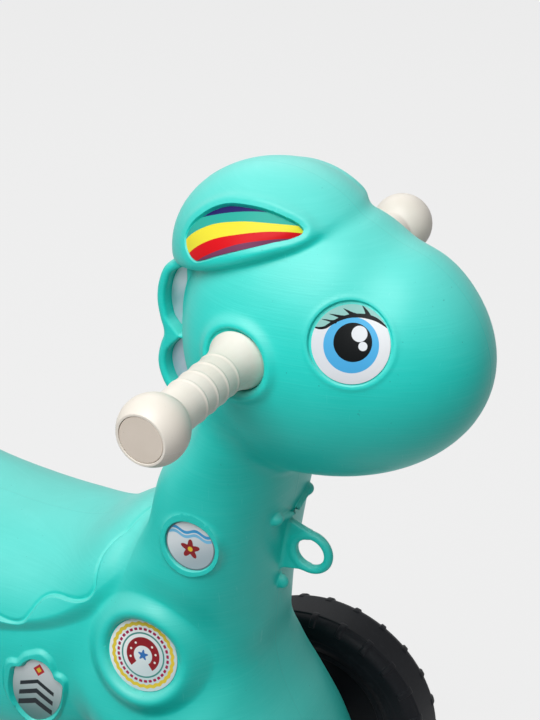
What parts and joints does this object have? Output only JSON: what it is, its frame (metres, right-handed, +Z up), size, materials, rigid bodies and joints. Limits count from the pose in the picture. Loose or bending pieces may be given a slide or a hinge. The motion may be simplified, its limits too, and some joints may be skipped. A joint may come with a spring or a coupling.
{
  "type": "ride-on pony",
  "caption": "Foot-to-floor ride-on pony: hollow moulded body with saddle, head, swept forelock and mane, a handle bar through the head, a tow eye and free-spinning wheels.",
  "frame": {"origin": "on the floor under the middle of the whole object", "axes": "+X forward to the nose, +Y to the animal's left along the axles and the handle bar, +Z up"},
  "size_m": [0.5774, 0.3426, 0.5695],
  "materials": {
    "teal_plastic": "turquoise blow-moulded polyethylene, satin with fine mould grain",
    "cream_plastic": "cream moulded plastic, satin",
    "cap_plastic": "darker cream end cap, satin",
    "zinc_steel": "zinc-plated steel",
    "tyre_plastic": "black hard plastic tyre with ribs and lugs",
    "bush_plastic": "natural white bush",
    "eye_print": "printed sticker: plain cartoon eye",
    "stripe_print": "printed sticker: rainbow stripes",
    "badge_print": null,
    "shield_print": null,
    "hub_plastic": "black moulded plastic, satin",
    "silver_print": "silver-grey sticker shading from light to dark"
  },
  "bodies": {
    "body": {"body_shell": "teal_plastic", "handle_rod": "zinc_steel", "front_axle": "zinc_steel", "rear_axle": "zinc_steel", "right_grip": "cream_plastic", "right_grip_cap": "cap_plastic", "right_grip_screw": "zinc_steel", "right_eye": "eye_print", "right_forelock_stripes": "stripe_print", "right_neck_badge": "badge_print", "right_shoulder_badge": "badge_print", "right_flank_shield": "shield_print", "right_mane_panel_upper": "silver_print", "right_mane_panel_lower": "silver_print", "left_grip": "cream_plastic", "left_grip_cap": "cap_plastic", "left_grip_screw": "zinc_steel", "left_eye": "eye_print", "left_forelock_stripes": "stripe_print", "left_neck_badge": "badge_print", "left_shoulder_badge": "badge_print", "left_flank_shield": "shield_print", "left_mane_panel_upper": "silver_print", "left_mane_panel_lower": "silver_print", "front_right_bush": "bush_plastic", "front_right_washer": "zinc_steel", "front_right_push_nut": "zinc_steel", "front_left_bush": "bush_plastic", "front_left_washer": "zinc_steel", "front_left_push_nut": "zinc_steel", "rear_right_bush": "bush_plastic", "rear_right_washer": "zinc_steel", "rear_right_push_nut": "zinc_steel", "rear_left_bush": "bush_plastic", "rear_left_washer": "zinc_steel", "rear_left_push_nut": "zinc_steel"},
    "front_right_wheel": {"front_right_tyre": "tyre_plastic", "front_right_hub": "hub_plastic", "front_right_hub_cap": "teal_plastic"},
    "front_left_wheel": {"front_left_tyre": "tyre_plastic", "front_left_hub": "hub_plastic", "front_left_hub_cap": "teal_plastic"},
    "rear_right_wheel": {"rear_right_tyre": "tyre_plastic", "rear_right_hub": "hub_plastic", "rear_right_hub_cap": "teal_plastic"},
    "rear_left_wheel": {"rear_left_tyre": "tyre_plastic", "rear_left_hub": "hub_plastic", "rear_left_hub_cap": "teal_plastic"}
  },
  "joints": [
    {"name": "front_right_spin", "type": "hinge", "parent": "body", "child": "front_right_wheel", "pos_m": [0.12975, -0.1125, 0.0885], "axis": [0, 1, 0], "continuous": true},
    {"name": "front_left_spin", "type": "hinge", "parent": "body", "child": "front_left_wheel", "pos_m": [0.12975, 0.1125, 0.0885], "axis": [0, 1, 0], "continuous": true},
    {"name": "rear_right_spin", "type": "hinge", "parent": "body", "child": "rear_right_wheel", "pos_m": [-0.20025, -0.1125, 0.0885], "axis": [0, 1, 0], "continuous": true},
    {"name": "rear_left_spin", "type": "hinge", "parent": "body", "child": "rear_left_wheel", "pos_m": [-0.20025, 0.1125, 0.0885], "axis": [0, 1, 0], "continuous": true}
  ]
}
